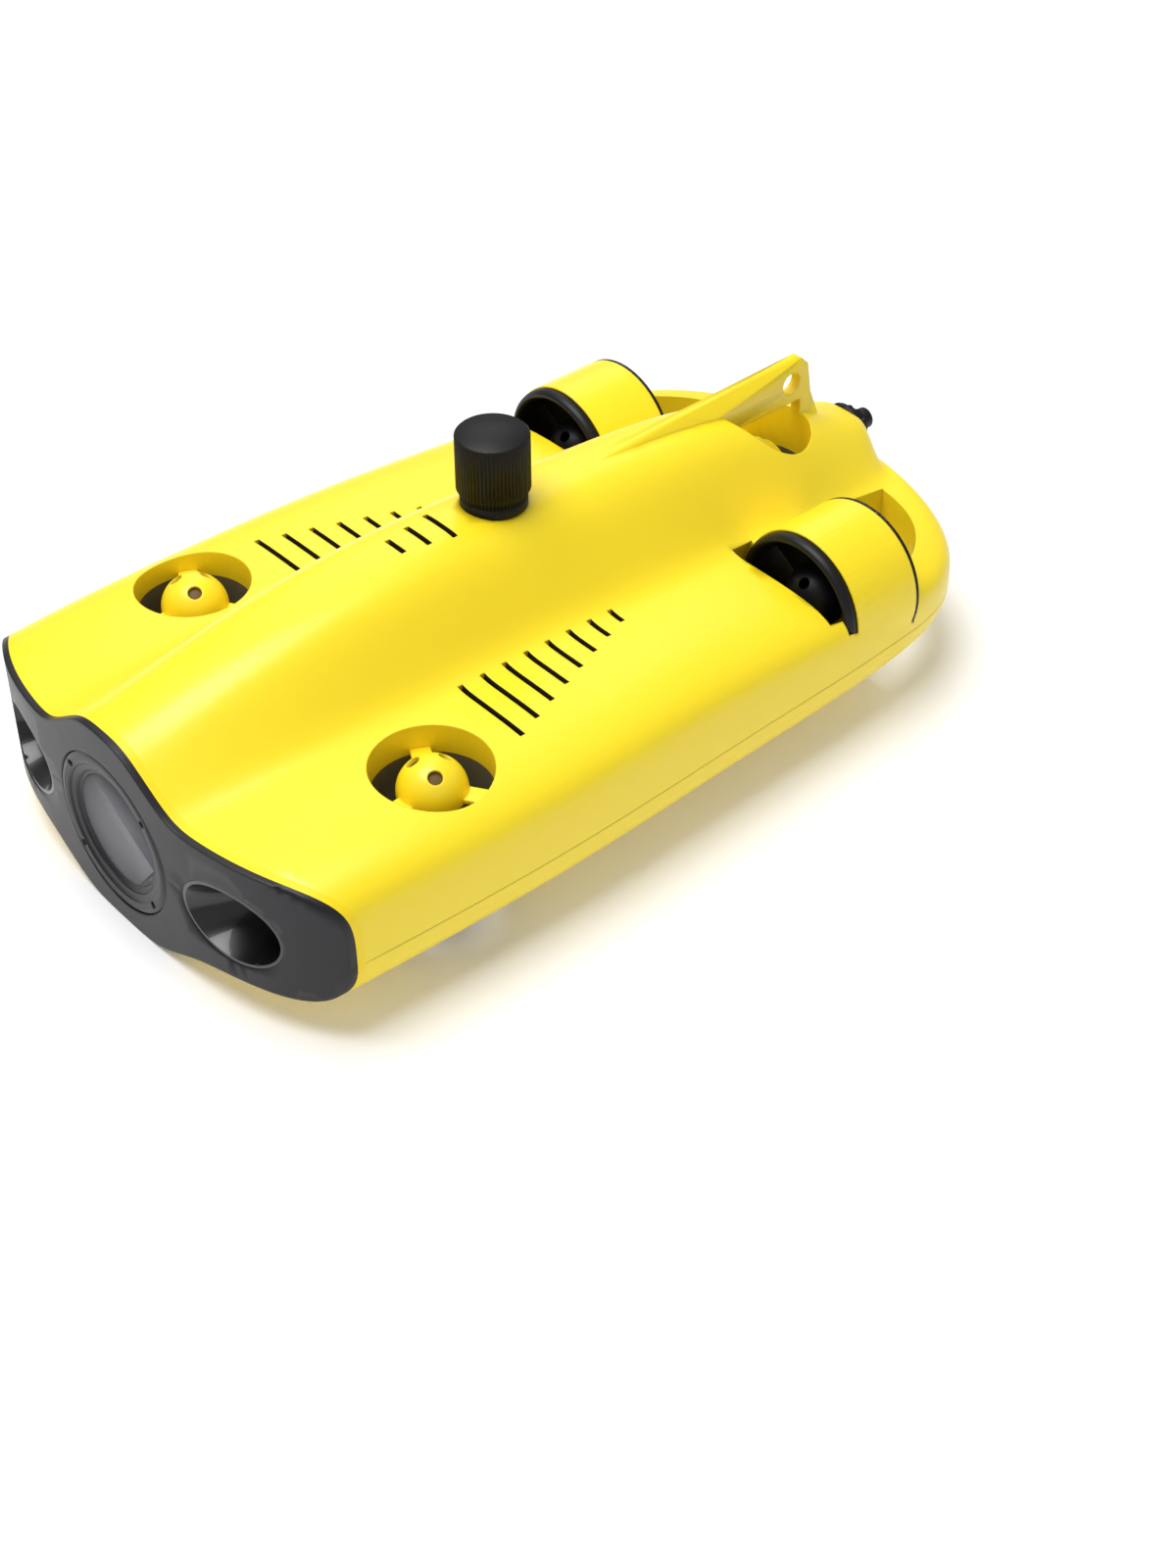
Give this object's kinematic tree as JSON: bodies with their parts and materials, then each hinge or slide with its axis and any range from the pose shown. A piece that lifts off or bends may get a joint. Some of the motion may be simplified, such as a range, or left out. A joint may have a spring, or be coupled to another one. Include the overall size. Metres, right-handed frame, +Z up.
{
  "type": "underwater inspection rov",
  "caption": "Compact underwater inspection ROV: moulded wavy hull, nose camera with lamps, upright and rear thrusters in ducts, tail fin with towing eye, screw cap and tether connector.",
  "frame": {"origin": "middle of the footprint, on the surface that the keel rests on", "axes": "+Z up, -Y towards the nose, +X to port"},
  "size_m": [0.225, 0.397, 0.1381],
  "materials": {
    "aluminium": "machined aluminium",
    "anodised_black": "black anodised aluminium",
    "ballast_steel": "bright steel bar",
    "battery_wrap": "blue shrink wrap over cells",
    "board_green": "green solder mask",
    "brass": "brass insert",
    "clear_lens": "clear lamp cover",
    "fascia_black": "charcoal nose panel, fine satin grain",
    "hull_yellow": "moulded bright yellow hull plastic, satin",
    "led_board": "white emitter board with phosphor chip",
    "lens_dark": "smoked camera window, hard coated",
    "propeller_grey": "dark grey propeller plastic",
    "reflector_black": "glossy black lamp cup",
    "rubber_black": "black seal rubber",
    "trim_black": "black glass-filled nylon"
  },
  "bodies": {
    "hull": {"upper_shell": "hull_yellow", "lower_shell": "hull_yellow", "front_fascia": "fascia_black", "camera_bezel": "trim_black", "camera_window": "lens_dark", "camera_module": "anodised_black", "light_reflector_port": "reflector_black", "light_reflector_starboard": "reflector_black", "light_lens_port": "clear_lens", "light_lens_starboard": "clear_lens", "light_emitter_port": "led_board", "light_emitter_starboard": "led_board", "pressure_tube": "anodised_black", "end_cap_front": "anodised_black", "end_cap_rear": "anodised_black", "end_seal_front": "rubber_black", "end_seal_rear": "rubber_black", "battery_pack": "battery_wrap", "control_board": "board_green", "ballast_port": "ballast_steel", "ballast_starboard": "ballast_steel", "service_neck": "trim_black", "tether_bulkhead": "trim_black", "tether_plug": "trim_black", "accessory_insert": "brass", "hub_guard_front_port": "hull_yellow", "hub_guard_front_starboard": "hull_yellow", "hub_guard_rear_upright": "hull_yellow", "outlet_guard_front_port": "trim_black", "outlet_guard_front_starboard": "trim_black", "outlet_guard_rear_upright": "trim_black", "nozzle_rear_port": "trim_black", "nozzle_rear_starboard": "trim_black", "motor_front_port": "anodised_black", "motor_front_starboard": "anodised_black", "motor_rear_upright": "anodised_black", "motor_rear_port": "anodised_black", "motor_rear_starboard": "anodised_black"},
    "thruster_front_port": {"rotor_front_port": "aluminium", "propeller_front_port": "propeller_grey"},
    "thruster_front_starboard": {"rotor_front_starboard": "aluminium", "propeller_front_starboard": "propeller_grey"},
    "thruster_rear_upright": {"rotor_rear_upright": "aluminium", "propeller_rear_upright": "propeller_grey"},
    "thruster_rear_port": {"rotor_rear_port": "aluminium", "propeller_rear_port": "propeller_grey"},
    "thruster_rear_starboard": {"rotor_rear_starboard": "aluminium", "propeller_rear_starboard": "propeller_grey"},
    "cap_seal": {"service_gasket": "rubber_black"},
    "cap": {"service_cap": "trim_black"},
    "lock_ring": {"tether_lock_ring": "trim_black"}
  },
  "joints": [
    {"name": "spin_front_port", "type": "hinge", "parent": "hull", "child": "thruster_front_port", "pos_m": [0.0755, -0.1075, 0.044], "axis": [0, 0, 1], "continuous": true},
    {"name": "spin_front_starboard", "type": "hinge", "parent": "hull", "child": "thruster_front_starboard", "pos_m": [-0.0755, -0.1075, 0.044], "axis": [0, 0, 1], "continuous": true},
    {"name": "spin_rear_upright", "type": "hinge", "parent": "hull", "child": "thruster_rear_upright", "pos_m": [0, 0.1295, 0.044], "axis": [0, 0, 1], "continuous": true},
    {"name": "spin_rear_port", "type": "hinge", "parent": "hull", "child": "thruster_rear_port", "pos_m": [0.0735, 0.1115, 0.051], "axis": [0, 1, 0], "continuous": true},
    {"name": "spin_rear_starboard", "type": "hinge", "parent": "hull", "child": "thruster_rear_starboard", "pos_m": [-0.0735, 0.1115, 0.051], "axis": [0, 1, 0], "continuous": true},
    {"name": "cap_lift", "type": "slide", "parent": "hull", "child": "cap_seal", "axis": [0, 0, 1], "range_m": [0, 0.00601]},
    {"name": "cap_turn", "type": "hinge", "parent": "cap_seal", "child": "cap", "pos_m": [0, -0.0142, 0.125], "axis": [0, 0, 1], "range_deg": [0, 1080]},
    {"name": "lock_ring_turn", "type": "hinge", "parent": "hull", "child": "lock_ring", "pos_m": [0, 0.1887, 0.058], "axis": [0, 1, 0], "continuous": true}
  ],
  "couplings": [
    {"joint": "cap_lift", "follows": "cap_turn", "m_per_rad": 0.00031831}
  ]
}
